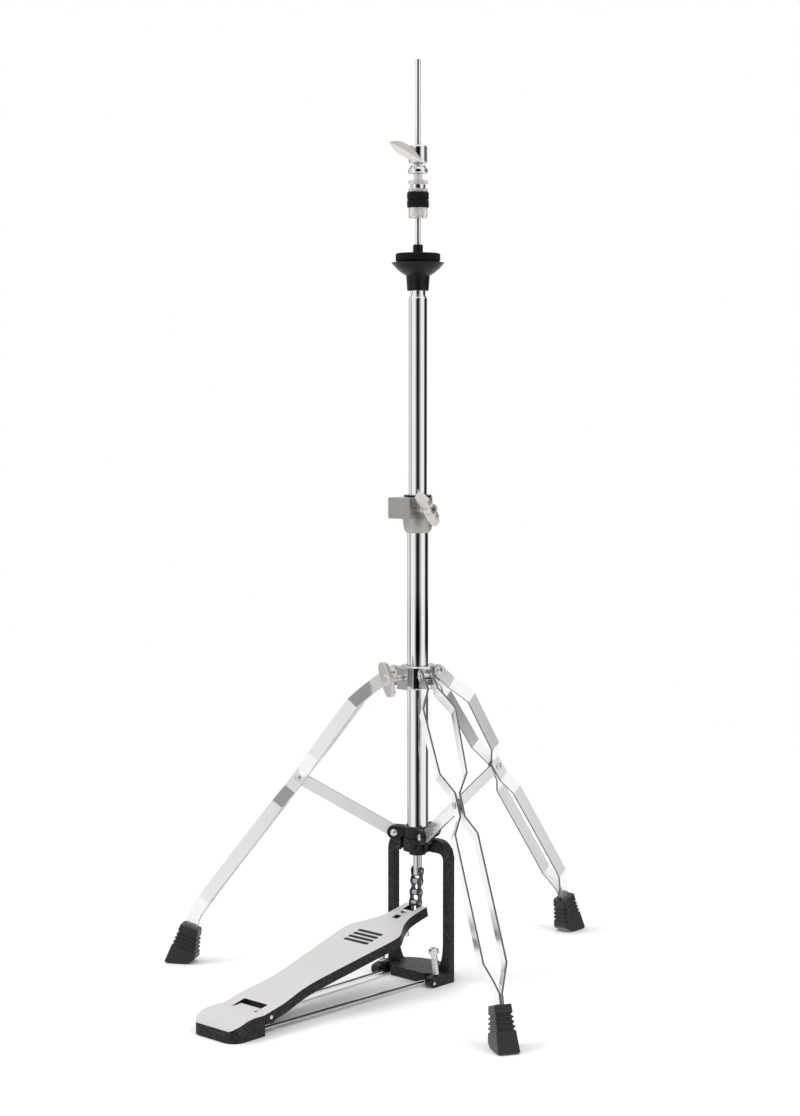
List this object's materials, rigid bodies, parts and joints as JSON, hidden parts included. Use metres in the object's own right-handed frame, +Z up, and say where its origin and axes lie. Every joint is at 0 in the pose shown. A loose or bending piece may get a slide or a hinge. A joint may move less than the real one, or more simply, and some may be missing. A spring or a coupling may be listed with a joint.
{
  "type": "hi-hat cymbal stand",
  "caption": "Chrome tripod hi-hat stand with double-braced folding legs, a chain-driven pedal, a telescoping tube, a cymbal seat and a clutch; no cymbals.",
  "frame": {"origin": "on the tube's axis at floor level, in the underside of the pedal frame's base plate", "axes": "+Z up along the tube; -Y towards the pedal's heel and the player; +Y towards the rear leg; +X to the player's right"},
  "size_m": [0.546, 0.6352, 1.0614],
  "materials": {
    "chrome": "mirror-bright plated steel",
    "nickel": "satin plated die casting",
    "zinc": "bright zinc",
    "black_cast": "black textured powder coat",
    "silver_board": "silver tread with black powder-coated sides",
    "plastic": "satin black moulding",
    "clear_plastic": "milky translucent moulding",
    "nylon": "natural nylon",
    "felt": "pressed black wool felt",
    "rubber": "matt black moulded rubber",
    "chain_steel": "dark oiled steel",
    "spring_steel": "plated spring wire"
  },
  "bodies": {
    "base": {"base_casting": "black_cast", "pedal_frame": "black_cast", "lower_tube": "chrome", "rod_guide": "nylon", "return_spring": "spring_steel", "brace_pin_rear": "zinc", "brace_pin_left": "zinc", "brace_pin_right": "zinc", "clamp_body": "nickel", "clamp_bushing": "plastic", "clamp_bolt": "nickel", "heel_plate": "silver_board", "hinge_pin": "zinc", "radius_rod": "chrome"},
    "upper": {"upper_tube": "chrome", "seat_cup": "plastic", "seat_felt": "felt", "seat_sleeve": "plastic"},
    "pull_rod": {"pull_rod_lower": "chrome", "pull_rod_upper": "chrome", "spring_retainer": "zinc", "rod_end_fitting": "nickel"},
    "chain": {"chain_link_1": "chain_steel", "chain_link_2": "chain_steel", "chain_link_3": "chain_steel", "chain_link_4": "chain_steel"},
    "pedal": {"footboard": "silver_board", "toe_screw": "zinc"},
    "toe_nut": {"toe_wing_nut": "zinc"},
    "clutch": {"clutch_body": "chrome", "clutch_stem": "chrome", "clutch_flange_nut": "clear_plastic", "clutch_felt_upper": "felt", "clutch_felt_lower": "felt"},
    "clutch_wing": {"clutch_wing_bolt": "nickel"},
    "lock_nut": {"clutch_lock_nut": "chrome"},
    "bottom_nut": {"clutch_bottom_nut": "clear_plastic"},
    "clamp_nut": {"clamp_wing_nut": "nickel"},
    "collar": {"leg_collar": "chrome"},
    "collar_bolt": {"collar_wing_bolt": "nickel"},
    "spur_l": {"spur_left": "zinc"},
    "spur_r": {"spur_right": "zinc"},
    "brace_body_rear": {"brace_rear": "chrome"},
    "leg_body_rear": {"leg_strip_rear_a": "chrome", "leg_strip_rear_b": "chrome", "mid_rivet_rear": "zinc", "foot_rear": "rubber", "collar_pin_rear": "zinc"},
    "brace_body_left": {"brace_left": "chrome"},
    "leg_body_left": {"leg_strip_left_a": "chrome", "leg_strip_left_b": "chrome", "mid_rivet_left": "zinc", "foot_left": "rubber", "collar_pin_left": "zinc"},
    "brace_body_right": {"brace_right": "chrome"},
    "leg_body_right": {"leg_strip_right_a": "chrome", "leg_strip_right_b": "chrome", "mid_rivet_right": "zinc", "foot_right": "rubber", "collar_pin_right": "zinc"}
  },
  "joints": [
    {"name": "pedal_press", "type": "hinge", "parent": "base", "child": "pedal", "pos_m": [0, -0.2695, 0.018], "axis": [-1, 0, 0], "range_deg": [0, 6.2]},
    {"name": "pull_rod_slide", "type": "slide", "parent": "base", "child": "pull_rod", "axis": [0, 0, -1], "range_m": [0, 0.02886], "stiffness_N_per_m": 600, "springref_m": -0.05, "deforming": ["return_spring"]},
    {"name": "chain_swing", "type": "hinge", "parent": "pull_rod", "child": "chain", "pos_m": [0, 0, 0.1262], "axis": [1, 0, 0], "range_deg": [0, 5.47]},
    {"name": "height_adjust", "type": "slide", "parent": "base", "child": "upper", "axis": [0, 0, 1], "range_m": [-0.19, 0]},
    {"name": "clutch_slide", "type": "slide", "parent": "pull_rod", "child": "clutch", "axis": [0, 0, 1], "range_m": [0, 0.08]},
    {"name": "clutch_wing_turn", "type": "hinge", "parent": "clutch", "child": "clutch_wing", "pos_m": [0, 0, 0.9545], "axis": [0, -1, 0], "continuous": true},
    {"name": "lock_nut_turn", "type": "hinge", "parent": "clutch", "child": "lock_nut", "pos_m": [0, 0, 0.936], "axis": [0, 0, 1], "continuous": true},
    {"name": "bottom_nut_turn", "type": "hinge", "parent": "clutch", "child": "bottom_nut", "pos_m": [0, 0, 0.888], "axis": [0, 0, 1], "continuous": true},
    {"name": "clamp_nut_turn", "type": "hinge", "parent": "base", "child": "clamp_nut", "pos_m": [0.025, -0.0205, 0.5515], "axis": [1, 0, 0], "continuous": true},
    {"name": "toe_nut_turn", "type": "hinge", "parent": "pedal", "child": "toe_nut", "pos_m": [0, -0.02278, 0.07401], "axis": [0, -0.2214, 0.9752], "continuous": true},
    {"name": "spur_left_slide", "type": "slide", "parent": "base", "child": "spur_l", "axis": [0, 0.1628, -0.9867], "range_m": [-0.008, 0.022]},
    {"name": "spur_right_slide", "type": "slide", "parent": "base", "child": "spur_r", "axis": [0, 0.1628, -0.9867], "range_m": [-0.008, 0.022]},
    {"name": "collar_slide", "type": "slide", "parent": "base", "child": "collar", "axis": [0, 0, 1], "range_m": [0, 0.10441]},
    {"name": "collar_bolt_turn", "type": "hinge", "parent": "collar", "child": "collar_bolt", "pos_m": [0, -0.027, 0.3563], "axis": [0, -1, 0], "continuous": true},
    {"name": "brace_fold_rear", "type": "hinge", "parent": "base", "child": "brace_body_rear", "pos_m": [0, 0.0271, 0.171], "axis": [1, 0, 0], "range_deg": [0, 46.1]},
    {"name": "leg_fold_rear", "type": "hinge", "parent": "brace_body_rear", "child": "leg_body_rear", "pos_m": [0, 0.1431, 0.2302], "axis": [1, 0, 0], "range_deg": [-75.47, 0]},
    {"name": "brace_fold_left", "type": "hinge", "parent": "base", "child": "brace_body_left", "pos_m": [-0.02347, -0.01355, 0.171], "axis": [-0.5, 0.866, 0], "range_deg": [0, 46.1]},
    {"name": "leg_fold_left", "type": "hinge", "parent": "brace_body_left", "child": "leg_body_left", "pos_m": [-0.12393, -0.07155, 0.2302], "axis": [-0.5, 0.866, 0], "range_deg": [-75.47, 0]},
    {"name": "brace_fold_right", "type": "hinge", "parent": "base", "child": "brace_body_right", "pos_m": [0.02347, -0.01355, 0.171], "axis": [-0.5, -0.866, 0], "range_deg": [0, 46.1]},
    {"name": "leg_fold_right", "type": "hinge", "parent": "brace_body_right", "child": "leg_body_right", "pos_m": [0.12393, -0.07155, 0.2302], "axis": [-0.5, -0.866, 0], "range_deg": [-75.47, 0]}
  ],
  "couplings": [
    {"joint": "brace_fold_rear", "follows": "collar_slide", "rad_per_m": 7.6894},
    {"joint": "leg_fold_rear", "follows": "collar_slide", "rad_per_m": -12.599},
    {"joint": "brace_fold_left", "follows": "collar_slide", "rad_per_m": 7.6894},
    {"joint": "leg_fold_left", "follows": "collar_slide", "rad_per_m": -12.599},
    {"joint": "brace_fold_right", "follows": "collar_slide", "rad_per_m": 7.6894},
    {"joint": "leg_fold_right", "follows": "collar_slide", "rad_per_m": -12.599},
    {"joint": "pull_rod_slide", "follows": "pedal_press", "m_per_rad": 0.26575},
    {"joint": "chain_swing", "follows": "pedal_press", "ratio": 0.85075}
  ]
}
